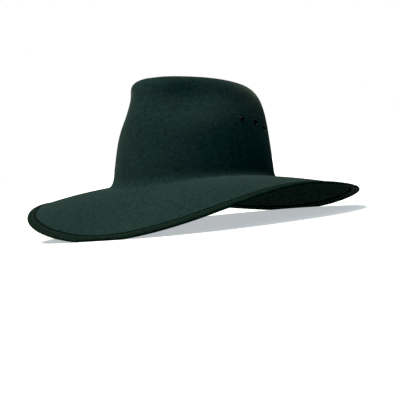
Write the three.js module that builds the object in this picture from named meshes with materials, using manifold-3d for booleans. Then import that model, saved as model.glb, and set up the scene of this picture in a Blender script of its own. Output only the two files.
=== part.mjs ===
// Wide-brim felt hat with a pinched, creased crown, a ribbon-bound brim and vent eyelets.
// Millimetres, +Z up. The front of the hat faces -Y and the wearer's left is +X.
// The hat rests on the front and the back of its brim at z = 0.
import * as THREE from "three";
import { mergeVertices } from "three/addons/utils/BufferGeometryUtils.js";
import Module from "manifold-3d";

// Foot of the crown, outside of the felt: an oval for a head of about 58 cm
const CROWN_LENGTH = 206;
const CROWN_WIDTH = 171;
const FELT_THICKNESS = 1.6;

// Brim from the front (angle 0) round to the back (angle 180), the same on both sides.
// felt is its width along the slope, rim the height of its edge over the surface, where a
// value below zero is pressed flat by the hat's own weight.
const BRIM_SECTIONS = [
  { angle: 0, felt: 92, rim: -2.3 },
  { angle: 30, felt: 101.8, rim: 6.2 },
  { angle: 60, felt: 99, rim: 28.3 },
  { angle: 90, felt: 96.3, rim: 32.4 },
  { angle: 120, felt: 97.6, rim: 21.4 },
  { angle: 150, felt: 99.2, rim: 8 },
  { angle: 180, felt: 98.5, rim: -3.2 },
];
// Height over which the pressed felt turns into its free slope
const PRESSED_ROUNDING = 0.3;
// The right front quarter of the brim is rolled up this much more than the left one
const RIGHT_FRONT_LIFT = 10.6;

// Crown from the front to the back: foot is the height of its foot, dip the sag of the brim
// beside it, lean how far the wall draws in, squareness how tight the shoulder turns.
const CROWN_SECTIONS = [
  { angle: 0, foot: 53, dip: -0.35, lean: 0.2, squareness: 8.5 },
  { angle: 60, foot: 52, dip: 0.66, lean: 0.23, squareness: 7.4 },
  { angle: 120, foot: 44, dip: 0.11, lean: 0.132, squareness: 5.9 },
  { angle: 180, foot: 37.5, dip: 0.46, lean: 0.04, squareness: 7 },
];
const TOP_HEIGHT = 164.4;
const TOP_FALL_TO_BACK = 0.136;
const TOP_SHIFT_BACK = 7.5;
const FLARE_RADIUS = 5;

// Front pinches made by thumb and fingers: one on the right, one on the left and a shallower
// one under the left one. angle is the middle and spread the half-width round the crown, depth
// a share of the crown's radius, and height, above and below shares of its height.
const PINCHES = [
  { angle: -36, spread: 22, depth: 0.12, height: 0.8, above: 0.105, below: 0.24 },
  { angle: 44, spread: 41, depth: 0.214, height: 0.82, above: 0.225, below: 0.18 },
  { angle: 44, spread: 21, depth: 0.06, height: 0.65, above: 0.127, below: 0.127 },
];

// Teardrop crease in the top, narrow at the front
const CREASE = { depth: 20, middleY: 2, halfLength: 62, frontHalfWidth: 20, backHalfWidth: 38 };
const CREASE_FLOOR_SHARE = 0.2;

// Ribbon binding folded over the brim's edge. Its nose is rounded through the shoulder, and
// touching pieces keep the gap.
const BINDING_WIDTH = 9.3;
const BINDING_WALL = 1;
const BINDING_SHOULDER = { insetShare: 0.15, offsetShare: 0.55 };
const GAP = 0.3;
const CHANNEL_HALF = FELT_THICKNESS / 2 + GAP;
const EDGE_THICKNESS = 2 * (CHANNEL_HALF + BINDING_WALL);

// Vent eyelets on each side: angle round the crown, climb up its wall
const EYELETS = [
  { angle: 89.5, climb: 0.628 },
  { angle: 105, climb: 0.618 },
  { angle: 117.7, climb: 0.567 },
];
const EYELET_FLANGE_RADIUS = 3.75;
const EYELET_BARREL_RADIUS = 2.55;
const EYELET_HOLE_RADIUS = 2;
const EYELET_FLANGE_HEIGHT = 0.8;
const EYELET_FLANGE_BEVEL = 0.4;
const EYELET_MOUTH_BEVEL = 0.5;
const EYELET_SIDES = 16;

// Facets round the hat, and the small step that slopes are measured over
const SEGMENTS = 60;
const SLOPE_STEP = 0.02;
const DRILL_LENGTH = 6 * FELT_THICKNESS;
const MERGE_DISTANCE = 1e-4;

// Rows of the felt from the rim to the crown: millimetres in from the rim under the binding,
// shares of the brim, shares of the flare, then climb 0 to 1 up the wall to the shoulder and
// 1 to 2 over the top to the middle.
const BOUND_ROWS = [2.2];
const BRIM_ROWS = [0.83, 0.73, 0.6, 0.45, 0.3, 0.17];
const FLARE_ROWS = [0, 0.33, 0.67, 1];
const CROWN_ROWS = [
  0.2, 0.36, 0.5, 0.62, 0.73, 0.82, 0.9, 0.96, 1.03, 1.12, 1.24, 1.38, 1.52, 1.66, 1.8, 1.91,
];

// A column of a table at any angle: the series of cosines that passes through its rows, so
// it is smooth everywhere and runs level through the front and the back.
function along(rows, column, angle) {
  const last = rows.length - 1;
  const half = (k) => (k === 0 || k === last ? 0.5 : 1);
  let sum = 0;
  for (let wave = 0; wave <= last; wave++) {
    let share = 0;
    rows.forEach((row, k) => {
      share += half(k) * row[column] * Math.cos((Math.PI * wave * k) / last);
    });
    sum += (2 / last) * half(wave) * share * Math.cos(wave * angle);
  }
  return sum;
}

// Height of the rim's underside over the surface
function rimHeight(angle) {
  const rightFront = Math.cos(angle) > 0 && Math.sin(angle) < 0;
  const lift = rightFront ? RIGHT_FRONT_LIFT * Math.sin(2 * angle) ** 2 : 0;
  return along(BRIM_SECTIONS, "rim", angle) + lift;
}

// Width of the brim seen from above, from its width along the felt and its drop
function planWidth(angle) {
  const drop = along(CROWN_SECTIONS, "foot", angle) - rimHeight(angle);
  return Math.sqrt(along(BRIM_SECTIONS, "felt", angle) ** 2 - drop ** 2);
}

// Height over the surface of felt that would hang at height free: level at zero where it is
// pressed, and rounded into its free slope
function pressed(free) {
  if (free <= -PRESSED_ROUNDING) return 0;
  if (free >= PRESSED_ROUNDING) return free;
  return (free + PRESSED_ROUNDING) ** 2 / (4 * PRESSED_ROUNDING);
}

// Point of the brim's middle surface, out millimetres from the crown's foot seen from above.
// It runs from the foot to the rim with a sag, and lies flat where it would pass the surface.
function brimMiddle(angle, out) {
  const halfWidth = CROWN_WIDTH / 2;
  const halfLength = CROWN_LENGTH / 2;
  const normal = new THREE.Vector2(Math.sin(angle) / halfWidth, -Math.cos(angle) / halfLength);
  normal.normalize();
  const share = out / planWidth(angle);
  const foot = along(CROWN_SECTIONS, "foot", angle);
  const rim = rimHeight(angle) + EDGE_THICKNESS / 2;
  const dip = along(CROWN_SECTIONS, "dip", angle) * (share * share - share);
  const z = foot + (rim - foot) * (share + dip);
  return new THREE.Vector3(
    halfWidth * Math.sin(angle) + normal.x * out,
    -halfLength * Math.cos(angle) + normal.y * out,
    EDGE_THICKNESS / 2 + pressed(z - EDGE_THICKNESS / 2),
  );
}

// Outward unit normal of a surface given as point(angle, step), by differences
function normalOf(point, angle, step) {
  const round = point(angle + SLOPE_STEP, step).sub(point(angle - SLOPE_STEP, step));
  const across = point(angle, step + SLOPE_STEP).sub(point(angle, step - SLOPE_STEP));
  return round.cross(across).normalize();
}

// The brim's surface raised off the middle surface along its normal
function brimOffset(angle, out, offset) {
  const up = normalOf(brimMiddle, angle, out);
  if (up.z < 0) up.negate();
  return brimMiddle(angle, out).addScaledVector(up, offset);
}

// How deep the crease presses the top in at a place of the crown
function creaseDepth(x, y) {
  const fromFront = THREE.MathUtils.clamp(
    (y - CREASE.middleY + CREASE.halfLength) / (2 * CREASE.halfLength), 0, 1);
  const halfWidth = THREE.MathUtils.lerp(CREASE.frontHalfWidth, CREASE.backHalfWidth, fromFront);
  const reach = Math.hypot(x / halfWidth, (y - CREASE.middleY) / CREASE.halfLength);
  return CREASE.depth * (1 - THREE.MathUtils.smootherstep(reach, CREASE_FLOOR_SHARE, 1));
}

// Bell curve: 1 where value is 0, and 1/e a spread away
function bell(value, spread) {
  return Math.exp(-((value / spread) ** 2));
}

// How much of its radius the crown keeps at the pinches
function pinched(angle, height) {
  const turn = THREE.MathUtils.radToDeg(Math.atan2(Math.sin(angle), Math.cos(angle)));
  const depths = PINCHES.map((pinch) => {
    const reach = height > pinch.height ? pinch.above : pinch.below;
    return pinch.depth * bell(turn - pinch.angle, pinch.spread) * bell(height - pinch.height, reach);
  });
  return 1 - depths.reduce((sum, depth) => sum + depth);
}

// Point of the crown's outside. Its profile is a superellipse between the wall and the top,
// drawn in by the lean and the pinches and pressed in by the crease.
function crownPoint(angle, climb) {
  const squareness = along(CROWN_SECTIONS, "squareness", angle);
  const corner = 0.5 ** (1 / squareness);
  const share = (climb <= 1 ? climb : 2 - climb) * corner;
  const other = (1 - share ** squareness) ** (1 / squareness);
  const height = climb <= 1 ? share : other;
  const radius = climb <= 1 ? other : share;
  const lean = 1 - along(CROWN_SECTIONS, "lean", angle) * height;
  const reach = radius * lean * pinched(angle, height);
  const x = (CROWN_WIDTH / 2) * Math.sin(angle) * reach;
  const y = -(CROWN_LENGTH / 2) * Math.cos(angle) * reach + TOP_SHIFT_BACK * height;
  const foot = along(CROWN_SECTIONS, "foot", angle) * (1 - height);
  const top = (TOP_HEIGHT - TOP_FALL_TO_BACK * y) * height;
  const crease = climb > 1 ? creaseDepth(x, y) : 0;
  return new THREE.Vector3(x, y, foot + top - crease);
}

// The brim's part of a profile, on its upper or its lower face, from the rim inwards
function brimProfile(angle, offset) {
  const width = planWidth(angle);
  const bound = [BINDING_WALL + GAP, ...BOUND_ROWS, BINDING_WIDTH];
  const outs = [...bound.map((inset) => width - inset), ...BRIM_ROWS.map((share) => share * width)];
  return outs.map((out) => brimOffset(angle, out, offset));
}

// The rest of a profile, on the outside: a small flare, then the crown to its last row
function crownProfile(angle) {
  const outer = brimOffset(angle, FLARE_RADIUS, FELT_THICKNESS / 2);
  const corner = brimOffset(angle, 0, FELT_THICKNESS / 2);
  const climb = FLARE_RADIUS / (TOP_HEIGHT - corner.z);
  const flare = new THREE.QuadraticBezierCurve3(outer, corner, crownPoint(angle, 2 * climb));
  return [
    ...FLARE_ROWS.map((share) => flare.getPoint(share)),
    ...CROWN_ROWS.map((row) => crownPoint(angle, row)),
  ];
}

// Closed mesh from a list of points and triangles
function closedGeometry(points, triangles) {
  const geometry = new THREE.BufferGeometry();
  geometry.setAttribute(
    "position",
    new THREE.Float32BufferAttribute(points.flatMap((p) => [p.x, p.y, p.z]), 3),
  );
  geometry.setIndex(triangles);
  return geometry;
}

// Two triangles on each cell between one ring of points and the next. The cell's diagonal
// starts on the first ring, or on the second one where fromSecond is true.
function stitchRings(triangles, first, second, count, flip, fromSecond = false) {
  for (let i = 0; i < count; i++) {
    const j = (i + 1) % count;
    const [a, b, c, d] = [first + i, first + j, second + j, second + i];
    const cell = fromSecond ? [a, b, d, b, c, d] : [a, b, c, a, c, d];
    triangles.push(...(flip ? cell.reverse() : cell));
  }
}

// Felt body: the outside, and the same surface again one felt thickness further in
function feltGeometry() {
  const half = FELT_THICKNESS / 2;
  const angles = Array.from({ length: SEGMENTS }, (_, i) => (2 * Math.PI * i) / SEGMENTS);
  const lower = angles.map((angle) => brimProfile(angle, -half));
  const profiles = angles.map((angle) => [...brimProfile(angle, half), ...crownProfile(angle)]);
  const rows = profiles[0].length;
  const pole = crownPoint(0, 2);
  const at = (row, i) => profiles[(i + SEGMENTS) % SEGMENTS][row];
  const outside = [];
  const inside = [];
  for (let row = 0; row < rows; row++) {
    for (let i = 0; i < SEGMENTS; i++) {
      outside.push(at(row, i));
      if (row < lower[i].length) {
        inside.push(lower[i][row]);
        continue;
      }
      const next = row + 1 < rows ? at(row + 1, i) : pole;
      const round = at(row, i + 1).clone().sub(at(row, i - 1));
      const normal = round.cross(next.clone().sub(at(row - 1, i))).normalize();
      inside.push(at(row, i).clone().addScaledVector(normal, -FELT_THICKNESS));
    }
  }
  const points = [...outside, pole, ...inside];
  const insideStart = outside.length + 1;
  points.push(pole.clone().add(new THREE.Vector3(0, 0, -FELT_THICKNESS)));
  const triangles = [];
  for (let row = 0; row + 1 < rows; row++) {
    const a = row * SEGMENTS;
    stitchRings(triangles, a, a + SEGMENTS, SEGMENTS, false);
    stitchRings(triangles, insideStart + a, insideStart + a + SEGMENTS, SEGMENTS, true);
  }
  stitchRings(triangles, insideStart, 0, SEGMENTS, false);
  const lastRing = (rows - 1) * SEGMENTS;
  for (let i = 0; i < SEGMENTS; i++) {
    const j = (i + 1) % SEGMENTS;
    triangles.push(lastRing + i, lastRing + j, outside.length);
    triangles.push(insideStart + lastRing + j, insideStart + lastRing + i, points.length - 1);
  }
  return closedGeometry(points, triangles);
}

// Binding: a folded strip with its mouth towards the crown, carried round the brim's edge.
// inset is measured in from the rim seen from above, offset up from the middle surface.
function bindingGeometry() {
  const half = EDGE_THICKNESS / 2;
  const insets = [BINDING_WIDTH, ...BOUND_ROWS.toReversed(), BINDING_WALL];
  const shoulderInset = BINDING_SHOULDER.insetShare * BINDING_WALL;
  const shoulderOffset = BINDING_SHOULDER.offsetShare * half;
  const section = [
    ...insets.map((inset) => ({ inset, offset: half })),
    { inset: shoulderInset, offset: shoulderOffset },
    { inset: 0, offset: 0 },
    { inset: shoulderInset, offset: -shoulderOffset },
    ...insets.toReversed().map((inset) => ({ inset, offset: -half })),
    ...insets.map((inset) => ({ inset, offset: -CHANNEL_HALF })),
    ...insets.toReversed().map((inset) => ({ inset, offset: CHANNEL_HALF })),
  ];
  const points = [];
  for (const { inset, offset } of section) {
    for (let i = 0; i < SEGMENTS; i++) {
      const angle = (2 * Math.PI * i) / SEGMENTS;
      points.push(brimOffset(angle, planWidth(angle) - inset, offset));
    }
  }
  const triangles = [];
  section.forEach(({ inset }, k) => {
    const next = (k + 1) % section.length;
    const towardsRim = section[next].inset < inset;
    stitchRings(triangles, k * SEGMENTS, next * SEGMENTS, SEGMENTS, true, towardsRim);
  });
  return closedGeometry(points, triangles);
}

// Eyelet: a turned barrel through the felt with a rounded flange on either side
function eyeletGeometry() {
  const seat = GAP;
  const back = -FELT_THICKNESS - GAP;
  const rim = EYELET_FLANGE_RADIUS;
  const crest = rim - EYELET_FLANGE_BEVEL;
  const mouth = EYELET_HOLE_RADIUS + EYELET_MOUTH_BEVEL;
  const profile = [
    [EYELET_HOLE_RADIUS, back - EYELET_FLANGE_HEIGHT + EYELET_MOUTH_BEVEL],
    [mouth, back - EYELET_FLANGE_HEIGHT],
    [crest, back - EYELET_FLANGE_HEIGHT],
    [rim, back],
    [EYELET_BARREL_RADIUS, back],
    [EYELET_BARREL_RADIUS, seat],
    [rim, seat],
    [crest, seat + EYELET_FLANGE_HEIGHT],
    [mouth, seat + EYELET_FLANGE_HEIGHT],
    [EYELET_HOLE_RADIUS, seat + EYELET_FLANGE_HEIGHT - EYELET_MOUTH_BEVEL],
    [EYELET_HOLE_RADIUS, back - EYELET_FLANGE_HEIGHT + EYELET_MOUTH_BEVEL],
  ].map(([r, y]) => new THREE.Vector2(r, y));
  return new THREE.LatheGeometry(profile, EYELET_SIDES);
}

// Turns and moves +Y of a lathe geometry onto the crown's outward normal at an eyelet
function placeEyelet(object, eyelet, side) {
  const angle = side * THREE.MathUtils.degToRad(eyelet.angle);
  const normal = normalOf(crownPoint, angle, eyelet.climb);
  object.position.copy(crownPoint(angle, eyelet.climb));
  object.quaternion.setFromUnitVectors(new THREE.Vector3(0, 1, 0), normal);
  object.updateMatrix();
}

const wasm = await Module();
wasm.setup();

// Solid of a geometry that has only its positions, for cutting
function solid(geometry) {
  const bare = new THREE.BufferGeometry();
  bare.setAttribute("position", geometry.getAttribute("position"));
  bare.setIndex(geometry.index);
  const merged = mergeVertices(bare, MERGE_DISTANCE);
  return new wasm.Manifold(new wasm.Mesh({
    numProp: 3,
    vertProperties: new Float32Array(merged.attributes.position.array),
    triVerts: new Uint32Array(merged.index.array),
  }));
}

// Geometry of a solid
function geometryOf(cut) {
  const mesh = cut.getMesh();
  const geometry = new THREE.BufferGeometry();
  geometry.setAttribute("position", new THREE.Float32BufferAttribute(mesh.vertProperties, 3));
  geometry.setIndex(new THREE.BufferAttribute(mesh.triVerts, 1));
  geometry.computeVertexNormals();
  return geometry;
}

const hat = new THREE.Group();
const SIDES = { left: 1, right: -1 };

// Felt with a hole for each eyelet's barrel
let felt = solid(feltGeometry());
for (const side of Object.values(SIDES)) {
  for (const eyelet of EYELETS) {
    const radius = EYELET_BARREL_RADIUS + GAP;
    const drill = new THREE.Mesh(
      new THREE.CylinderGeometry(radius, radius, DRILL_LENGTH, EYELET_SIDES),
    );
    placeEyelet(drill, eyelet, side);
    felt = felt.subtract(solid(drill.geometry.applyMatrix4(drill.matrix)));
  }
}
const feltMaterial = new THREE.MeshStandardMaterial({ color: 0x20403a, roughness: 0.95 });
const feltBody = new THREE.Mesh(geometryOf(felt), feltMaterial);
feltBody.name = "felt_body";
hat.add(feltBody);

const ribbonMaterial = new THREE.MeshStandardMaterial({ color: 0x172a23, roughness: 0.8 });
const binding = new THREE.Mesh(bindingGeometry(), ribbonMaterial);
binding.name = "brim_binding";
hat.add(binding);

const eyeletMaterial = new THREE.MeshStandardMaterial({
  color: 0x101412,
  roughness: 0.3,
  metalness: 0.9,
});
for (const [sideName, side] of Object.entries(SIDES)) {
  EYELETS.forEach((eyelet, i) => {
    const ring = new THREE.Mesh(eyeletGeometry(), eyeletMaterial);
    ring.name = `vent_eyelet_${sideName}_${i + 1}`;
    placeEyelet(ring, eyelet, side);
    hat.add(ring);
  });
}

// The origin is under the middle of the hat's length
const frontReach = CROWN_LENGTH / 2 + planWidth(0);
const backReach = CROWN_LENGTH / 2 + planWidth(Math.PI);
hat.position.y = (frontReach - backReach) / 2;

export default hat;
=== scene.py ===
import math

import bpy
import numpy as np
from mathutils import Matrix, Vector


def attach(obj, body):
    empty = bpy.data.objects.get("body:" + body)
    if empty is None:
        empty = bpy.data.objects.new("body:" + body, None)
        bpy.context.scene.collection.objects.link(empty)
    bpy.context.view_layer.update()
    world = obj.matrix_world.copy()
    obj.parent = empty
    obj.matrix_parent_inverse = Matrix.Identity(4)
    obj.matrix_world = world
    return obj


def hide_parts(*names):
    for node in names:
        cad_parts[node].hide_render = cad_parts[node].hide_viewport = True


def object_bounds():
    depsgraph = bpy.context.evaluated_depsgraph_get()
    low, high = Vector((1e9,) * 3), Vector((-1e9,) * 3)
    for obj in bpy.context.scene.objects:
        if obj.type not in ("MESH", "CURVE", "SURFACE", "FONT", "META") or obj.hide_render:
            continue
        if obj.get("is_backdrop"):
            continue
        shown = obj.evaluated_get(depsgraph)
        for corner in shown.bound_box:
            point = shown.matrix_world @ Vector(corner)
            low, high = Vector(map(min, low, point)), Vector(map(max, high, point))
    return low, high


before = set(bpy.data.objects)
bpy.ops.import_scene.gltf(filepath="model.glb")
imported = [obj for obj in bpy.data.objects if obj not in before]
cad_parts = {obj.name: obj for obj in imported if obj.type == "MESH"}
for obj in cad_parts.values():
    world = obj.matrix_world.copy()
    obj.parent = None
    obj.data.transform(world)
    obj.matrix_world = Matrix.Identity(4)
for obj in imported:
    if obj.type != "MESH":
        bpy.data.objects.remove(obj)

cad_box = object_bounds()
MM = 0.001
scene = bpy.context.scene

# The camera stands in front of the hat and to its left as worn, a little above the surface
# that it rests on. It leans sideways, because the hat in the picture tips forward a little.
CAMERA_AZIMUTH = 40.0
CAMERA_HEIGHT = 72 * MM
CAMERA_DISTANCE = 1.49
CAMERA_LEAN = 6.1
AIM_RIGHT = 3.6 * MM
AIM_HEIGHT = 27.4 * MM
FOCAL_PIXELS = 1298
PICTURE_WIDTH = 400

azimuth = math.radians(CAMERA_AZIMUTH)
to_right = Vector((math.cos(azimuth), math.sin(azimuth), 0))
to_camera = Vector((math.sin(azimuth), -math.cos(azimuth), 0))
# The crown's middle lies a little in front of the origin, because the brim is wider behind it
CROWN_MIDDLE = Vector((0, -8.087 * MM, 0))
aim = CROWN_MIDDLE + AIM_RIGHT * to_right + Vector((0, 0, AIM_HEIGHT))
place = CROWN_MIDDLE + CAMERA_DISTANCE * to_camera + Vector((0, 0, CAMERA_HEIGHT))
camera_data = bpy.data.cameras.new("camera")
camera_data.lens = camera_data.sensor_width * FOCAL_PIXELS / PICTURE_WIDTH
camera = bpy.data.objects.new("camera", camera_data)
level = (aim - place).to_track_quat("-Z", "Y").to_matrix().to_4x4()
lean = Matrix.Rotation(math.radians(-CAMERA_LEAN), 4, "Z")
camera.matrix_world = Matrix.Translation(place) @ level @ lean
scene.collection.objects.link(camera)
scene.camera = camera
scene.view_settings.view_transform = "Standard"
# Print contrast: the deepest shadows close up to black
BLACK_LEVEL = 0.004
scene.view_settings.use_curve_mapping = True
scene.view_settings.curve_mapping.black_level = [BLACK_LEVEL] * 3
scene.view_settings.curve_mapping.update()


# Felt body: crown and brim, blocked over a form from one hood of fur felt, then creased and
# pinched by hand. Angle 0 is the front and grows towards the left as worn; sizes are in mm.
# A column of seven or four values has its rows evenly spaced in angle from front to back.
CROWN_LENGTH = 206
CROWN_WIDTH = 171
FELT_THICKNESS = 1.6
EDGE_THICKNESS = 4.2
BRIM_FELT = (92, 101.8, 99, 96.3, 97.6, 99.2, 98.5)
BRIM_RIM = (-2.3, 6.2, 28.3, 32.4, 21.4, 8, -3.2)
RIGHT_FRONT_LIFT = 10.6
PRESSED_ROUNDING = 0.3
CROWN_FOOT = (53, 52, 44, 37.5)
BRIM_DIP = (-0.35, 0.66, 0.11, 0.46)
CROWN_LEAN = (0.2, 0.23, 0.132, 0.04)
CROWN_SQUARENESS = (8.5, 7.4, 5.9, 7)
TOP_HEIGHT = 164.4
TOP_FALL_TO_BACK = 0.136
TOP_SHIFT_BACK = 7.5
FLARE_RADIUS = 5
PINCHES = (
    {"angle": -36, "spread": 22, "depth": 0.12, "height": 0.8, "above": 0.105, "below": 0.24},
    {"angle": 44, "spread": 41, "depth": 0.214, "height": 0.82, "above": 0.225, "below": 0.18},
    {"angle": 44, "spread": 21, "depth": 0.06, "height": 0.65, "above": 0.127, "below": 0.127},
)
CREASE = {"depth": 20, "middle": 2, "half_length": 62, "front_width": 20, "back_width": 38}
CREASE_FLOOR = 0.2
FELT_COLUMNS = 324


def along(column, angle):
    """Value at any angle of a column whose rows are evenly spaced from front to back: the
    sum of cosines of the angle and its multiples that passes through every row."""
    k = np.arange(len(column))
    last = len(column) - 1
    half = np.where((k == 0) | (k == last), 0.5, 1.0)
    waves = np.cos(np.pi * np.outer(k, k) / last) @ (half * np.asarray(column, float))
    return np.tensordot(waves * half * 2 / last, np.cos(np.multiply.outer(k, angle)), 1)


def rim_height(angle):
    """Table height of the rim, plus in the right front quarter a lift by the squared sine of
    twice the angle."""
    right_front = (np.cos(angle) > 0) & (np.sin(angle) < 0)
    return along(BRIM_RIM, angle) + np.where(
        right_front, RIGHT_FRONT_LIFT * np.sin(2 * angle) ** 2, 0
    )


def plan_width(angle):
    """Brim width seen from above: the root of its felt width squared less its drop squared."""
    drop = along(CROWN_FOOT, angle) - rim_height(angle)
    return np.sqrt(along(BRIM_FELT, angle) ** 2 - drop**2)


def brim_middle(angle, out):
    """Middle of the brim's felt: the crown's oval moved out along its normal, its height going
    from foot to rim with a sag of dip times share squared less share, and level where it would
    pass the surface underneath."""
    x = CROWN_WIDTH / 2 * np.sin(angle)
    y = -CROWN_LENGTH / 2 * np.cos(angle)
    across, ahead = np.sin(angle) / CROWN_WIDTH, -np.cos(angle) / CROWN_LENGTH
    size = np.hypot(across, ahead)
    share = out / plan_width(angle)
    foot = along(CROWN_FOOT, angle)
    rim = rim_height(angle) + EDGE_THICKNESS / 2
    free = foot + (rim - foot) * (share + along(BRIM_DIP, angle) * (share**2 - share))
    free = free - EDGE_THICKNESS / 2
    rounded = (free + PRESSED_ROUNDING) ** 2 / (4 * PRESSED_ROUNDING)
    height = np.where(free < PRESSED_ROUNDING, rounded, free)
    height = np.where(free < -PRESSED_ROUNDING, 0, height) + EDGE_THICKNESS / 2
    return np.stack([x + across / size * out, y + ahead / size * out, height], -1)


def brim_frame(angle, out):
    """Point of the brim's middle with its unit normal and its unit direction outwards, both
    from differences of neighbouring points."""
    step = 0.02
    sideways = brim_middle(angle + step, out) - brim_middle(angle - step, out)
    outwards = brim_middle(angle, out + step) - brim_middle(angle, out - step)
    normal = np.cross(outwards, sideways)
    normal /= np.linalg.norm(normal, axis=-1, keepdims=True)
    outwards = outwards / np.linalg.norm(outwards, axis=-1, keepdims=True)
    return brim_middle(angle, out), normal, outwards


def bell(value, spread):
    """Bell curve: e to the minus square of value over spread."""
    return np.exp(-((value / spread) ** 2))


def crown_outside(angle, climb):
    """Outside of the crown. Its profile is a superellipse, climbed 0 to 1 up the wall and 1 to
    2 over the top, drawn in by the lean and by bell-shaped pinches on each side; the teardrop
    crease lowers the top by a smooth step of the distance from its middle."""
    power = along(CROWN_SQUARENESS, angle)
    share = np.where(climb <= 1, climb, 2 - climb) * 0.5 ** (1 / power)
    other = (1 - share**power) ** (1 / power)
    height = np.where(climb <= 1, share, other)
    radius = np.where(climb <= 1, other, share)
    turn = np.degrees(np.arctan2(np.sin(angle), np.cos(angle)))
    pinch = 1
    for row in PINCHES:
        reach = np.where(height > row["height"], row["above"], row["below"])
        sideways = bell(turn - row["angle"], row["spread"])
        pinch = pinch - row["depth"] * sideways * bell(height - row["height"], reach)
    radius = radius * (1 - along(CROWN_LEAN, angle) * height) * pinch
    x = CROWN_WIDTH / 2 * np.sin(angle) * radius
    y = -CROWN_LENGTH / 2 * np.cos(angle) * radius + TOP_SHIFT_BACK * height
    z = along(CROWN_FOOT, angle) * (1 - height) + (TOP_HEIGHT - TOP_FALL_TO_BACK * y) * height
    from_front = np.clip((y - CREASE["middle"]) / (2 * CREASE["half_length"]) + 0.5, 0, 1)
    half_width = CREASE["front_width"] + from_front * (CREASE["back_width"] - CREASE["front_width"])
    away = np.hypot(x / half_width, (y - CREASE["middle"]) / CREASE["half_length"])
    away = np.clip((away - CREASE_FLOOR) / (1 - CREASE_FLOOR), 0, 1)
    step = away**3 * (away * (6 * away - 15) + 10)
    z = z - np.where(climb > 1, CREASE["depth"] * (1 - step), 0)
    return np.stack([x, y, z], -1)


def grid_normals(grid):
    """Unit normals of a grid that closes on itself along its second axis, pointing out."""
    up = np.gradient(grid, axis=0)
    around = np.roll(grid, -1, 1) - np.roll(grid, 1, 1)
    normal = np.cross(around, up)
    return normal / np.linalg.norm(normal, axis=-1, keepdims=True)


def ring_faces(first, rows, columns):
    """Quads between rows of a grid of vertices numbered from first, closed round its columns."""
    row, column = np.meshgrid(np.arange(rows - 1), np.arange(columns), indexing="ij")
    beside = (column + 1) % columns
    corners = [row * columns + column, row * columns + beside]
    corners += [(row + 1) * columns + beside, (row + 1) * columns + column]
    return first + np.stack(corners, -1).reshape(-1, 4)


def make_piece(name, points, quads, triangles=()):
    """Object at the origin from points in the crown's own millimetres and faces."""
    mesh = bpy.data.meshes.new(name)
    place_of = np.asarray(points) * MM + np.array(CROWN_MIDDLE)
    faces = [tuple(f) for f in np.asarray(quads).tolist()]
    faces += [tuple(f) for f in np.asarray(triangles).tolist()]
    mesh.from_pydata(place_of.tolist(), [], faces)
    mesh.shade_smooth()
    piece = bpy.data.objects.new(name, mesh)
    scene.collection.objects.link(piece)
    return piece


# Rows of the brim, in mm in from the rim: a few under the ribbon, close ones across the groove
# that the ribbon's sewn edge presses into the felt, then even shares of the open brim
RIBBON_WIDTH = 9.3
FELT_EDGE_INSET = 1.3
GROOVE_GAP = 0.8
GROOVE_INSET = RIBBON_WIDTH + GROOVE_GAP
GROOVE_WIDTH = 0.55
GROOVE_DEPTH = 0.5
GROOVE_NEAR = 1.7
GROOVE_FAR = 2.5
HIDDEN_ROWS = 5
GROOVE_ROWS = 15
OPEN_ROWS = 34
FLARE_ROWS = 9
CROWN_ROWS = 88
# The last ring of the crown stops just short of the top's middle, where a fan closes it
LAST_CLIMB = 1.985

felt_angles = np.linspace(0, 2 * np.pi, FELT_COLUMNS, endpoint=False)[None, :]
widths = plan_width(felt_angles)
hidden_insets = np.linspace(FELT_EDGE_INSET, GROOVE_INSET - GROOVE_FAR, HIDDEN_ROWS)
groove_insets = np.linspace(GROOVE_INSET - GROOVE_NEAR, GROOVE_INSET + GROOVE_FAR, GROOVE_ROWS)
bound_out = widths - np.concatenate([hidden_insets, groove_insets])[:, None]
open_brim = bound_out[-1] - FLARE_RADIUS
open_share = np.linspace(1, 0, OPEN_ROWS, endpoint=False)[1:, None]
out = np.concatenate([bound_out, FLARE_RADIUS + open_brim * open_share])
middle, normal, _ = brim_frame(felt_angles, out)
groove = bell(widths - out - GROOVE_INSET, GROOVE_WIDTH)
half = (FELT_THICKNESS / 2 - GROOVE_DEPTH * groove)[..., None]
brim_top = middle + half * normal
brim_under = middle - half * normal
# Over the flare the outside follows a quadratic curve from the brim's top, by the corner where
# brim and wall would meet, to a point a little way up the wall
start, start_normal, _ = brim_frame(felt_angles, np.full_like(widths, FLARE_RADIUS))
start = start + FELT_THICKNESS / 2 * start_normal
corner, corner_normal, _ = brim_frame(felt_angles, np.zeros_like(widths))
corner = corner + FELT_THICKNESS / 2 * corner_normal
first_climb = 2 * FLARE_RADIUS / (TOP_HEIGHT - corner[..., 2])
end = crown_outside(felt_angles, first_climb)
share = np.linspace(0, 1, FLARE_ROWS)[:, None, None]
flare = (1 - share) ** 2 * start + 2 * share * (1 - share) * corner + share**2 * end
wall_share = np.linspace(0, 1, CROWN_ROWS + 1)[1:, None]
crown = crown_outside(felt_angles, first_climb + (LAST_CLIMB - first_climb) * wall_share)
outside = np.concatenate([brim_top, flare, crown])
# Above the brim, the inside is the outside moved in along its normals by the felt's thickness
inside = outside - FELT_THICKNESS * grid_normals(outside)
inside[: len(brim_under)] = brim_under
pole = crown_outside(np.zeros(1), np.full(1, 2.0))
points = [outside.reshape(-1, 3), inside.reshape(-1, 3), pole, pole - (0, 0, FELT_THICKNESS)]
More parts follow.
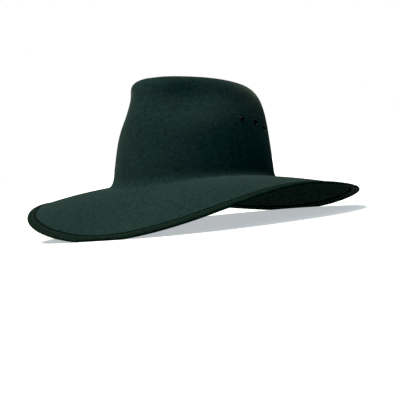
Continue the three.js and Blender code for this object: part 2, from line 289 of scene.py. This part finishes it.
# Faces: the grid outside, the grid inside, a band round the rim and a fan at each top
felt_rows = len(outside)
count = felt_rows * FELT_COLUMNS
last_ring = count - FELT_COLUMNS
columns = np.arange(FELT_COLUMNS)
beside = (columns + 1) % FELT_COLUMNS
rim = np.stack([columns, count + columns, count + beside, beside], -1)
outer_faces = ring_faces(0, felt_rows, FELT_COLUMNS)
inner_faces = ring_faces(count, felt_rows, FELT_COLUMNS)[:, ::-1]
outer_cap = [last_ring + columns, last_ring + beside, np.full_like(columns, 2 * count)]
outer_cap = np.stack(outer_cap, -1)
inner_cap = outer_cap[:, [1, 0, 2]] + (count, count, 1)
felt = make_piece(
    "felt_hat_body",
    np.concatenate(points),
    np.concatenate([outer_faces, inner_faces, rim]),
    np.concatenate([outer_cap, inner_cap]),
)
# How deep in the groove each point lies, which sets how far painted shade darkens it to near black
groove_shade = np.zeros((felt_rows, FELT_COLUMNS))
groove_shade[: len(groove)] = groove
groove_shade = np.concatenate([groove_shade.reshape(-1), groove_shade.reshape(-1), [0, 0]])
felt.data.attributes.new("groove_shade", "FLOAT", "POINT").data.foreach_set("value", groove_shade)
# Painted light and shade in the felt's colour: lighter on the brim beside the crown, a painted
# bloom that fades with the square of the share out to the rim, and darker at the crown's foot, a
# painted shade that fades as a bell of the height above it
PAINTED_BRIM_BLOOM = 0.2
PAINTED_FOOT_SHADE = 0.13
FOOT_SHADE_REACH = 22
brim_rows = len(out)
painted_light_tone = 1 - PAINTED_FOOT_SHADE * bell(outside[..., 2] - along(CROWN_FOOT, felt_angles), FOOT_SHADE_REACH)
painted_light_tone[:brim_rows] = 1 + PAINTED_BRIM_BLOOM * (1 - out / widths) ** 2
turning = slice(brim_rows, brim_rows + FLARE_ROWS)
turn_share = np.linspace(0, 1, FLARE_ROWS)[:, None]
painted_light_tone[turning] = (1 - turn_share) * (1 + PAINTED_BRIM_BLOOM) + turn_share * painted_light_tone[turning]
painted_light_tone = np.concatenate([painted_light_tone.reshape(-1), painted_light_tone.reshape(-1), [1, 1]])
felt.data.attributes.new("painted_light_tone", "FLOAT", "POINT").data.foreach_set("value", painted_light_tone)
# Which of the two finishes each face has
BRUSHED, IRONED = 0, 1
finish = [(outer_faces, BRUSHED), (inner_faces, IRONED), (rim, IRONED)]
finish += [(outer_cap, BRUSHED), (inner_cap, IRONED)]
finish = np.concatenate([np.full(len(faces), which) for faces, which in finish])
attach(felt, "root")
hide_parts("felt_body")


def colour(hex_code):
    """Linear colour of an sRGB hex code, each channel by the sRGB curve."""
    channels = np.array([int(hex_code[i : i + 2], 16) for i in (1, 3, 5)]) / 255
    low, high = channels / 12.92, ((channels + 0.055) / 1.055) ** 2.4
    return (*np.where(channels <= 0.04045, low, high).tolist(), 1.0)


def add(tree, kind, settings=(), links=()):
    """Adds a node of a kind to a tree; settings and links go to the sockets they name, or a
    setting to the property it names."""
    node = tree.nodes.new(kind)
    for name, value in dict(settings).items():
        if isinstance(name, int) or name in node.inputs:
            node.inputs[name].default_value = value
        else:
            setattr(node, name, value)
    for name, socket in dict(links).items():
        tree.links.new(socket, node.inputs[name])
    return node


def new_material(name):
    """Empty material with its tree."""
    material = bpy.data.materials.new(name)
    material.use_nodes = True
    material.node_tree.nodes.clear()
    return material, material.node_tree


def set_ramp(ramp, *stops):
    """Gives a colour ramp its two stops, each a position and a hex colour."""
    for element, (position, hex_code) in zip(ramp.color_ramp.elements, stops):
        element.position = position
        element.color = colour(hex_code)


# Fur felt, dyed dark blue-green and brushed: dull, with a soft grey bloom where the nap is
# seen from the side. Fibres that lie different ways mottle it, and paler hairs that took less
# dye show as light flecks. Painted shade darkens the groove beside the ribbon to near black,
# and a painted tone lightens the brim beside the crown and darkens the crown's foot.
fur_felt, tree = new_material("fur_felt_brushed")
where = add(tree, "ShaderNodeTexCoord").outputs["Object"]
GROOVE_SHADE_COLOUR = "#020605"
DRIFT_SIZE = 30 * MM
PATCH_SIZE = 5 * MM
MOTTLE_SIZE = 3.2 * MM
FLECK_SIZE = 1.2 * MM
NAP_SIZE = 0.7 * MM
PATCH_SHARE = 0.9
NAP_SHARE = 0.7
FLECK_RELIEF = 0.35
drift = add(tree, "ShaderNodeTexNoise", {"Scale": 1 / DRIFT_SIZE, "Detail": 2.0}, {"Vector": where})
patch = add(tree, "ShaderNodeTexNoise", {"Scale": 1 / PATCH_SIZE, "Detail": 2.0}, {"Vector": where})
mottle = add(tree, "ShaderNodeTexNoise", {"Scale": 1 / MOTTLE_SIZE, "Detail": 3.0}, {"Vector": where})
fleck = add(tree, "ShaderNodeTexNoise", {"Scale": 1 / FLECK_SIZE, "Detail": 1.0}, {"Vector": where})
nap = add(tree, "ShaderNodeTexNoise", {"Scale": 1 / NAP_SIZE, "Detail": 3.0}, {"Vector": where})
cloud = add(
    tree,
    "ShaderNodeMath",
    {"operation": "MULTIPLY_ADD", 1: PATCH_SHARE},
    {0: patch.outputs["Fac"], 2: mottle.outputs["Fac"]},
)
tone = add(
    tree,
    "ShaderNodeMath",
    {"operation": "MULTIPLY_ADD", 1: NAP_SHARE},
    {0: nap.outputs["Fac"], 2: cloud.outputs[0]},
)
tone = add(
    tree,
    "ShaderNodeMapRange",
    {"From Min": 0.9, "From Max": 1.7},
    {"Value": tone.outputs[0]},
)
shades = add(tree, "ShaderNodeValToRGB", {}, {"Fac": tone.outputs["Result"]})
set_ramp(shades, (0.0, "#131e1f"), (1.0, "#1d2b2d"))
greener = add(
    tree,
    "ShaderNodeMath",
    {"operation": "MULTIPLY"},
    {0: drift.outputs["Fac"], 1: patch.outputs["Fac"]},
)
greener = add(
    tree,
    "ShaderNodeMapRange",
    {"From Min": 0.15, "From Max": 0.4, "To Min": 0.0, "To Max": 0.35},
    {"Value": greener.outputs[0]},
)
drifted = add(
    tree,
    "ShaderNodeMix",
    {"data_type": "RGBA", 7: colour("#192a26")},
    {0: greener.outputs["Result"], 6: shades.outputs["Color"]},
)
pale = add(
    tree,
    "ShaderNodeMapRange",
    {"From Min": 0.63, "From Max": 0.76, "To Min": 0.0, "To Max": 0.42},
    {"Value": fleck.outputs["Fac"]},
)
flecked = add(
    tree,
    "ShaderNodeMix",
    {"data_type": "RGBA", 7: colour("#304b48")},
    {0: pale.outputs["Result"], 6: drifted.outputs[2]},
)
# Painted light and shade: the colour is scaled by the tone set on the mesh
painted_tone = add(tree, "ShaderNodeAttribute", {"attribute_name": "painted_light_tone"}).outputs["Fac"]
painted_tone_colour = add(
    tree,
    "ShaderNodeVectorMath",
    {"operation": "SCALE"},
    {0: flecked.outputs[2], "Scale": painted_tone},
)
# Painted shade: the groove's depth darkens the colour towards near black
groove_shade = add(tree, "ShaderNodeAttribute", {"attribute_name": "groove_shade"}).outputs["Fac"]
groove_shaded = add(
    tree,
    "ShaderNodeMix",
    {"data_type": "RGBA", 7: colour(GROOVE_SHADE_COLOUR)},
    {0: groove_shade, 6: painted_tone_colour.outputs[0]},
)
height = add(
    tree,
    "ShaderNodeMath",
    {"operation": "MULTIPLY_ADD", 1: FLECK_RELIEF},
    {0: fleck.outputs["Fac"], 2: nap.outputs["Fac"]},
)
bump = add(
    tree,
    "ShaderNodeBump",
    {"Strength": 0.45, "Distance": 0.35 * MM},
    {"Height": height.outputs[0]},
)
shader = add(
    tree,
    "ShaderNodeBsdfPrincipled",
    {
        "Roughness": 0.92,
        "Specular IOR Level": 0.0,
        "Sheen Weight": 0.09,
        "Sheen Roughness": 0.33,
        "Sheen Tint": colour("#f0ffec"),
    },
    {"Base Color": groove_shaded.outputs[2], "Normal": bump.outputs["Normal"]},
)
add(tree, "ShaderNodeOutputMaterial", {}, {"Surface": shader.outputs["BSDF"]})

# The same felt under the brim and inside the crown, where it is ironed flat and not brushed:
# smoother, without the bloom, and a little greener
ironed_felt, tree = new_material("fur_felt_ironed")
where = add(tree, "ShaderNodeTexCoord").outputs["Object"]
mottle = add(tree, "ShaderNodeTexNoise", {"Scale": 1 / MOTTLE_SIZE, "Detail": 4.0}, {"Vector": where})
nap = add(tree, "ShaderNodeTexNoise", {"Scale": 1 / NAP_SIZE, "Detail": 3.0}, {"Vector": where})
shades = add(tree, "ShaderNodeValToRGB", {}, {"Fac": mottle.outputs["Fac"]})
set_ramp(shades, (0.3, "#171a17"), (0.75, "#28332d"))
# Painted shade darkens the groove beside the ribbon here too
groove_shade = add(tree, "ShaderNodeAttribute", {"attribute_name": "groove_shade"}).outputs["Fac"]
groove_shaded = add(
    tree,
    "ShaderNodeMix",
    {"data_type": "RGBA", 7: colour(GROOVE_SHADE_COLOUR)},
    {0: groove_shade, 6: shades.outputs["Color"]},
)
bump = add(
    tree,
    "ShaderNodeBump",
    {"Strength": 0.3, "Distance": 0.25 * MM},
    {"Height": nap.outputs["Fac"]},
)
shader = add(
    tree,
    "ShaderNodeBsdfPrincipled",
    {"Roughness": 0.85, "Specular IOR Level": 0.0},
    {"Base Color": groove_shaded.outputs[2], "Normal": bump.outputs["Normal"]},
)
add(tree, "ShaderNodeOutputMaterial", {}, {"Surface": shader.outputs["BSDF"]})
felt.data.materials.append(fur_felt)
felt.data.materials.append(ironed_felt)
felt.data.polygons.foreach_set("material_index", finish)


# Binding: a ribbed ribbon about 21 mm wide, folded over the brim's edge and sewn through, so
# it shows as a strip 9.3 mm wide above and below with a rounded edge. Its woven edges are
# drawn down towards the felt by the stitches.
RIBBON_HALF = 2.0
RIBBON_WALL = 0.4
RIBBON_EDGE = 0.9
RIBBON_COLUMNS = 720
SINK_POWER = 1.6
PUCKER = 0.07
LONG_PUCKERS = 83
WANDERS = 7
WANDER = 2
SHORT_PUCKERS = 131
SHORT_SHARE = 0.7
SHORT_START = 1.3
STITCH_MARGIN = 2.8
STITCH_INSET = RIBBON_WIDTH - STITCH_MARGIN
STITCH_DIMPLE = 0.08
STITCH_DIMPLE_WIDTH = 0.8
EDGE_SHADE_REACH = 0.65
STRIP_STEPS = 24
NOSE_STEPS = 12


def strip_height(inset):
    """Height of the strip's outer face over the felt's middle: it sinks from the nose to the
    sewn edge with a power of the share left to go, less a bell-shaped dimple at the stitches."""
    left = (RIBBON_WIDTH - inset) / (RIBBON_WIDTH - RIBBON_HALF)
    dimple = STITCH_DIMPLE * bell(inset - STITCH_INSET, STITCH_DIMPLE_WIDTH)
    rise = (RIBBON_HALF - RIBBON_EDGE) * np.clip(left, 0, 1) ** SINK_POWER
    return RIBBON_EDGE + rise - dimple


def ribbon_section():
    """Closed outline of the folded ribbon: top strip from its edge to the nose, the nose as a
    half circle, the under strip, and back along the inner faces one wall thickness inside."""
    across = np.linspace(RIBBON_WIDTH, RIBBON_HALF, STRIP_STEPS)
    turn = np.linspace(np.pi / 2, -np.pi / 2, NOSE_STEPS)[1:-1]
    outlines = []
    for wall, sign in ((0, 1), (RIBBON_WALL, -1)):
        radius = RIBBON_HALF - wall
        strip = np.stack([across, strip_height(across) - wall], -1)
        nose = np.stack([RIBBON_HALF - radius * np.cos(turn), radius * np.sin(turn)], -1)
        outline = np.concatenate([strip, nose, strip[::-1] * (1, -1)])
        outlines.append(outline[::sign])
    return np.concatenate(outlines)


def ribbon_surface(angle, inset, offset):
    """Point beside the brim's middle: inset in from the rim, offset along the normal. Long
    puckers that wander and short ones, both sines of the angle, are added to the offset and
    grow with the square of the inset towards the sewn edge."""
    middle, normal, _ = brim_frame(angle, plan_width(angle) - inset)
    waves = np.sin(LONG_PUCKERS * angle + WANDER * np.sin(WANDERS * angle))
    waves = waves + SHORT_SHARE * np.sin(SHORT_PUCKERS * angle + SHORT_START)
    pucker = PUCKER * waves * np.clip(inset / RIBBON_WIDTH, 0, 1) ** 2 * np.sign(offset)
    return middle + (offset + pucker)[..., None] * normal


def closed_ring_faces(first, rows, columns):
    """As ring_faces, with the last row joined to the first one too."""
    faces = ring_faces(0, rows + 1, columns)
    return first + faces % (rows * columns)


section = ribbon_section()
ribbon_rows = len(section)
ribbon_angles = np.linspace(0, 2 * np.pi, RIBBON_COLUMNS, endpoint=False)
grid = ribbon_surface(ribbon_angles[None, :], *section.T[:, :, None])
quads = closed_ring_faces(0, ribbon_rows, RIBBON_COLUMNS)[:, ::-1]
ribbon = make_piece("ribbon_binding", grid.reshape(-1, 3), quads)
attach(ribbon, "root")
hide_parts("brim_binding")

# Length along the rim and width across the ribbon, in metres, for the weave
rim_line = brim_middle(ribbon_angles, plan_width(ribbon_angles))
steps = np.linalg.norm(np.roll(rim_line, -1, 0) - rim_line, axis=-1)
length = np.concatenate([[0], np.cumsum(steps)])
lanes = np.concatenate([[0], np.cumsum(np.linalg.norm(np.diff(section, axis=0), axis=-1))])
# Painted shade on the ribbon: 1 on the sewn edge, which lies in shadow beside the groove, falling to
# 0 about 1.5 mm from it
edge_shade = np.broadcast_to(bell(RIBBON_WIDTH - section[:, :1], EDGE_SHADE_REACH), grid.shape[:2])
ribbon.data.attributes.new("edge_shade", "FLOAT", "POINT").data.foreach_set("value", edge_shade.reshape(-1))
weave = ribbon.data.uv_layers.new(name="weave")
rows, columns = np.divmod(quads, RIBBON_COLUMNS)
wraps = (columns.max(1, keepdims=True) - columns) > RIBBON_COLUMNS / 2
along_rim = length[np.where(wraps, RIBBON_COLUMNS, columns)]
weave.data.foreach_set("uv", (np.stack([along_rim, lanes[rows]], -1) * MM).reshape(-1))

# Rayon and cotton grosgrain, ribbed across: a dull ribbon a little greener than the felt,
# whose ribs catch the light as fine bars. A rib is drawn 1.1 mm wide, a third over the real one.
grosgrain, tree = new_material("grosgrain_ribbon")
RIB_PITCH = 1.1 * MM
WEAR_SIZE = 5 * MM
RIB_SHARE = 0.35
lie = add(tree, "ShaderNodeUVMap", {"uv_map": "weave"}).outputs["UV"]
ribs = add(
    tree,
    "ShaderNodeTexWave",
    {"Scale": np.pi / 10 / RIB_PITCH, "bands_direction": "X"},
    {"Vector": lie},
)
where = add(tree, "ShaderNodeTexCoord").outputs["Object"]
wear = add(tree, "ShaderNodeTexNoise", {"Scale": 1 / WEAR_SIZE, "Detail": 4.0}, {"Vector": where})
tone = add(
    tree,
    "ShaderNodeMath",
    {"operation": "MULTIPLY_ADD", 1: RIB_SHARE},
    {0: ribs.outputs["Fac"], 2: wear.outputs["Fac"]},
)
shades = add(tree, "ShaderNodeValToRGB", {}, {"Fac": tone.outputs[0]})
set_ramp(shades, (0.35, "#070f0d"), (1.0, "#11201c"))
# Painted shade darkens the ribbon's sewn edge towards near black
edge_shade = add(tree, "ShaderNodeAttribute", {"attribute_name": "edge_shade"}).outputs["Fac"]
edge_shaded = add(
    tree,
    "ShaderNodeMix",
    {"data_type": "RGBA", 7: colour(GROOVE_SHADE_COLOUR)},
    {0: edge_shade, 6: shades.outputs["Color"]},
)
bump = add(
    tree,
    "ShaderNodeBump",
    {"Strength": 0.5, "Distance": 0.15 * MM},
    {"Height": ribs.outputs["Fac"]},
)
shader = add(
    tree,
    "ShaderNodeBsdfPrincipled",
    {"Roughness": 0.8, "Specular IOR Level": 0.03},
    {"Base Color": edge_shaded.outputs[2], "Normal": bump.outputs["Normal"]},
)
add(tree, "ShaderNodeOutputMaterial", {}, {"Surface": shader.outputs["BSDF"]})
ribbon.data.materials.append(grosgrain)


# Stitching: one row of lockstitch beside the ribbon's edge, in sewing thread. It goes through
# ribbon, felt and ribbon, so it shows the same above and below, each stitch sunk at its ends
# and a little thinner there.
STITCH_PITCH = 3.9
STITCH_LENGTH = 2.7
STITCH_SINK = 0.35
THREAD_RADIUS = 0.26
PROUD_SHARE = 0.6
TIP_SHARE = 0.05
TAPER_POWER = 6
SINK_ENDS_POWER = 3
THREAD_RINGS = 7
THREAD_SIDES = 6

rim_length = length[-1]
stitch_count = round(rim_length / STITCH_PITCH)
along_stitch = np.linspace(-1, 1, THREAD_RINGS)
reach = along_stitch * STITCH_LENGTH / rim_length * np.pi
stitch_angles = np.arange(stitch_count)[:, None] / stitch_count * 2 * np.pi + reach
side_turns = np.linspace(0, 2 * np.pi, THREAD_SIDES, endpoint=False)[:, None]
thin = THREAD_RADIUS * np.sqrt(1 + TIP_SHARE - along_stitch**TAPER_POWER)[None, :, None, None]
_, up, outward = brim_frame(stitch_angles, plan_width(stitch_angles) - STITCH_INSET)
ring = np.cos(side_turns) * outward[:, :, None] + np.sin(side_turns) * up[:, :, None]
sunk_ends = STITCH_SINK * np.abs(along_stitch) ** SINK_ENDS_POWER
laid = strip_height(STITCH_INSET) + PROUD_SHARE * THREAD_RADIUS - sunk_ends
stitches = []
for side in (1, -1):
    line = ribbon_surface(stitch_angles, STITCH_INSET, side * laid[None, :])
    stitches.append(line[:, :, None] + thin * ring)
stitches = np.concatenate(stitches)
per_stitch = THREAD_RINGS * THREAD_SIDES
stitch_starts = np.arange(len(stitches))[:, None, None] * per_stitch
tube = ring_faces(0, THREAD_RINGS, THREAD_SIDES)[:, ::-1]
# Two quads close each six-sided end
near_end = np.array([[0, 3, 4, 5], [0, 1, 2, 3]])
far_end = per_stitch - THREAD_SIDES + near_end[:, ::-1]
quads = (stitch_starts + np.concatenate([tube, near_end, far_end])).reshape(-1, 4)
thread = make_piece("binding_stitches", stitches.reshape(-1, 3), quads)
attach(thread, "root")

# Polyester sewing thread, a paler green than the ribbon, with a slight shine along its top
sewing_thread, tree = new_material("polyester_thread")
THREAD_FLECK = 1.5 * MM
where = add(tree, "ShaderNodeTexCoord").outputs["Object"]
fleck = add(tree, "ShaderNodeTexNoise", {"Scale": 1 / THREAD_FLECK}, {"Vector": where})
shades = add(tree, "ShaderNodeValToRGB", {}, {"Fac": fleck.outputs["Fac"]})
set_ramp(shades, (0.2, "#0c1d16"), (0.8, "#1d382c"))
shader = add(
    tree,
    "ShaderNodeBsdfPrincipled",
    {"Roughness": 0.6, "Specular IOR Level": 0.15},
    {"Base Color": shades.outputs["Color"]},
)
add(tree, "ShaderNodeOutputMaterial", {}, {"Surface": shader.outputs["BSDF"]})
thread.data.materials.append(sewing_thread)


# Vent eyelets: brass eyelets lacquered black, a barrel set through a punched hole and rolled
# over on both sides of the felt, three on each side of the crown.
EYELETS = (
    {"angle": 89.5, "climb": 0.628},
    {"angle": 105, "climb": 0.618},
    {"angle": 117.7, "climb": 0.567},
)
EYELET_HOLE = 2.0
EYELET_FLANGE = 3.75
EYELET_BARREL = 2.45
BEAD_HEIGHT = 0.75
BEAD_STEPS = 15
SEAT = 0.12
EYELET_TURNS = 48
PUNCH_RADIUS = 2.6
PUNCH_REACH = 6
PUNCH_TURNS = 32


def eyelet_frame(angle, climb):
    """Point of the crown's outside with unit directions round it, up it and straight out of
    it, from differences of neighbouring points."""
    step = 0.01
    centre = crown_outside(np.array(angle), np.array(climb))
    across = crown_outside(np.array(angle + step), np.array(climb)) - centre
    upward = crown_outside(np.array(angle), np.array(climb + step)) - centre
    facing = np.cross(across, upward)
    facing /= np.linalg.norm(facing)
    across /= np.linalg.norm(across)
    return centre, across, np.cross(facing, across), facing


def turned(radius, level, turns, centre, across, upward, facing):
    """Profile of radii and levels turned round the axis that faces out of the crown."""
    turn = np.linspace(0, 2 * np.pi, turns, endpoint=False)
    spoke = np.cos(turn)[:, None] * across + np.sin(turn)[:, None] * upward
    radius, level = np.asarray(radius), np.asarray(level)
    return centre + radius[:, None, None] * spoke + level[:, None, None] * facing


bead = np.linspace(0, np.pi, BEAD_STEPS)
bead_radius = (EYELET_FLANGE - EYELET_HOLE) / 2
front_radius = EYELET_HOLE + bead_radius * (1 - np.cos(bead))
front_level = SEAT + BEAD_HEIGHT * np.sin(bead)
back_level = -FELT_THICKNESS - SEAT
eyelet_radius = np.concatenate([front_radius, [EYELET_BARREL, EYELET_BARREL], front_radius[::-1]])
eyelet_level = np.concatenate(
    [front_level, [SEAT, back_level], back_level - BEAD_HEIGHT * np.sin(bead)]
)

# Black lacquer, baked on: deep and glossy, with fine scuffs that dull it in places
lacquer, tree = new_material("black_lacquered_brass")
SCUFF_SIZE = 0.8 * MM
where = add(tree, "ShaderNodeTexCoord").outputs["Object"]
scuff = add(tree, "ShaderNodeTexNoise", {"Scale": 1 / SCUFF_SIZE, "Detail": 4.0}, {"Vector": where})
gloss = add(
    tree,
    "ShaderNodeMapRange",
    {"To Min": 0.07, "To Max": 0.17},
    {"Value": scuff.outputs["Fac"]},
)
shades = add(tree, "ShaderNodeValToRGB", {}, {"Fac": scuff.outputs["Fac"]})
set_ramp(shades, (0.3, "#010202"), (0.8, "#050706"))
shader = add(
    tree,
    "ShaderNodeBsdfPrincipled",
    {"Specular IOR Level": 0.15},
    {"Base Color": shades.outputs["Color"], "Roughness": gloss.outputs["Result"]},
)
add(tree, "ShaderNodeOutputMaterial", {}, {"Surface": shader.outputs["BSDF"]})

eyelet_faces = closed_ring_faces(0, len(eyelet_radius), EYELET_TURNS)[:, ::-1]
punch_ends = (-PUNCH_REACH, PUNCH_REACH)
drills = []
for side_name, side in (("left", 1), ("right", -1)):
    for i, row in enumerate(EYELETS):
        axes = eyelet_frame(side * np.radians(row["angle"]), row["climb"])
        grid = turned(eyelet_radius, eyelet_level, EYELET_TURNS, *axes)
        eyelet = make_piece(f"eyelet_{side_name}_{i + 1}", grid.reshape(-1, 3), eyelet_faces)
        eyelet.data.materials.append(lacquer)
        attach(eyelet, "root")
        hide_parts(f"vent_eyelet_{side_name}_{i + 1}")
        drills.append(turned([PUNCH_RADIUS, PUNCH_RADIUS], punch_ends, PUNCH_TURNS, *axes))

# The holes punched in the felt for the barrels
drill_starts = np.arange(len(drills)) * 2 * PUNCH_TURNS
drill_walls = drill_starts[:, None, None] + ring_faces(0, 2, PUNCH_TURNS)
inner_lids = drill_starts[:, None] + np.arange(PUNCH_TURNS)[::-1]
outer_lids = drill_starts[:, None] + PUNCH_TURNS + np.arange(PUNCH_TURNS)
holes = bpy.data.meshes.new("holes")
drill_points = np.concatenate(drills).reshape(-1, 3) * MM + np.array(CROWN_MIDDLE)
drill_faces = drill_walls.reshape(-1, 4).tolist() + inner_lids.tolist() + outer_lids.tolist()
holes.from_pydata(drill_points.tolist(), [], drill_faces)
punch = bpy.data.objects.new("punch", holes)
scene.collection.objects.link(punch)
cut = felt.modifiers.new("punched_holes", "BOOLEAN")
cut.operation = "DIFFERENCE"
cut.solver = "EXACT"
cut.object = punch
bpy.context.view_layer.update()
punched = bpy.data.meshes.new_from_object(felt.evaluated_get(bpy.context.evaluated_depsgraph_get()))
felt.modifiers.clear()
felt.data = punched
bpy.data.objects.remove(punch)


# Floor and light: a plain pale board under one large soft light from above, on the left of the
# picture. The board also glows evenly, so shadows on it stay pale, and it is darker to all
# light but what goes straight to the camera, so that it throws little up under the brim.
FLOOR_HALF = 30.0
floor_mesh = bpy.data.meshes.new("floor")
corners = [(x * FLOOR_HALF, y * FLOOR_HALF, 0) for x, y in ((-1, -1), (1, -1), (1, 1), (-1, 1))]
floor_mesh.from_pydata(corners, [], [(0, 1, 2, 3)])
floor = bpy.data.objects.new("floor", floor_mesh)
scene.collection.objects.link(floor)
pale_floor, tree = new_material("pale_board")
seen = add(tree, "ShaderNodeLightPath").outputs["Is Camera Ray"]
board = add(
    tree,
    "ShaderNodeMix",
    {"data_type": "RGBA", 6: colour("#606060"), 7: colour("#d0d0ce")},
    {0: seen},
)
shader = add(
    tree,
    "ShaderNodeBsdfPrincipled",
    {"Roughness": 0.9, "Emission Color": colour("#f6fbff"), "Emission Strength": 0.5},
    {"Base Color": board.outputs[2]},
)
add(tree, "ShaderNodeOutputMaterial", {}, {"Surface": shader.outputs["BSDF"]})
floor_mesh.materials.append(pale_floor)
floor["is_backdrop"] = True

world = bpy.data.worlds.new("studio")
world.use_nodes = True
scene.world = world
tree = world.node_tree
tree.nodes.clear()
# Pale walls in front of the hat, which fade to a dark room behind it; seen past the board,
# the backdrop is white paper
heading = add(tree, "ShaderNodeTexCoord").outputs["Generated"]
ahead = add(
    tree,
    "ShaderNodeVectorMath",
    {"operation": "DOT_PRODUCT", 1: to_camera},
    {0: heading},
)
wall_light = add(
    tree,
    "ShaderNodeMapRange",
    {"From Min": -0.8, "From Max": 0.8, "To Min": 0.05, "To Max": 0.63},
    {"Value": ahead.outputs["Value"]},
)
seen = add(tree, "ShaderNodeLightPath").outputs["Is Camera Ray"]
walls = add(
    tree,
    "ShaderNodeBackground",
    {"Color": colour("#daf4ff")},
    {"Strength": wall_light.outputs["Result"]},
)
paper = add(tree, "ShaderNodeBackground", {"Color": colour("#ffffff"), "Strength": 1.0})
both = add(tree, "ShaderNodeMixShader", {}, {"Fac": seen, 1: walls.outputs[0], 2: paper.outputs[0]})
add(tree, "ShaderNodeOutputWorld", {}, {"Surface": both.outputs[0]})

# The large light is far off and a little warm; its azimuth is counted as the camera's
KEY_AZIMUTH = math.radians(-35)
KEY_ELEVATION = math.radians(67)
KEY_SPREAD = math.radians(26)
KEY_STRENGTH = 1.9
level_part = math.cos(KEY_ELEVATION)
to_key = Vector(
    (
        math.sin(KEY_AZIMUTH) * level_part,
        -math.cos(KEY_AZIMUTH) * level_part,
        math.sin(KEY_ELEVATION),
    )
)
key = bpy.data.lights.new("key", "SUN")
key.angle = KEY_SPREAD
key.energy = math.pi * KEY_STRENGTH
key.color = colour("#fffae4")[:3]
lamp = bpy.data.objects.new("key", key)
lamp.rotation_euler = (-to_key).to_track_quat("-Z", "Y").to_euler()
scene.collection.objects.link(lamp)

sizes = {"cad": cad_box, "visual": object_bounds()}
sizes = {name: [[float(value) for value in corner] for corner in box] for name, box in sizes.items()}
